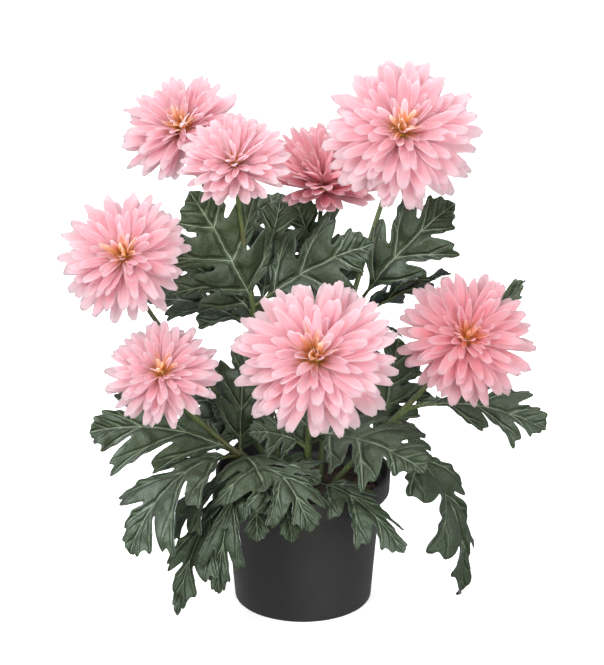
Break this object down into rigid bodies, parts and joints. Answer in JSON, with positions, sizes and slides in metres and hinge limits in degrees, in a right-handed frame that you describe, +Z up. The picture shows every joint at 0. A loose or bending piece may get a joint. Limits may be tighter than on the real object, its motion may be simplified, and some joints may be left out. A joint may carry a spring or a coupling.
{
  "type": "pot chrysanthemum",
  "caption": "Potted chrysanthemum with double pink blooms on leafy stems, dark lobed leaves that spread and hang round a black plastic nursery pot.",
  "frame": {"origin": "centre of the pot's flat underside, on the surface it stands on", "axes": "+Z up; -Y is the front, the side that the large front bloom faces; +X is to the right seen from the front"},
  "size_m": [0.3272, 0.2458, 0.3724],
  "materials": {
    "pot": "matte black moulded plastic",
    "soil": "dark damp potting soil",
    "leaf": "satin dark green leaf with pale veins",
    "petal": "soft pink petal, paler at the tips and warm yellow at the heart"
  },
  "bodies": {
    "root": {"pot": "pot", "soil": "soil", "leafy_stem_back_left": "leaf", "leafy_stem_high_left": "leaf", "leafy_stem_back_middle": "leaf", "leafy_stem_high_right": "leaf", "leafy_stem_left": "leaf", "leafy_stem_low_left": "leaf", "leafy_stem_front": "leaf", "leafy_stem_right": "leaf", "bloom_back_left": "petal", "bloom_high_left": "petal", "bloom_back_middle": "petal", "bloom_high_right": "petal", "bloom_left": "petal", "bloom_low_left": "petal", "bloom_front": "petal", "bloom_right": "petal"}
  },
  "joints": []
}
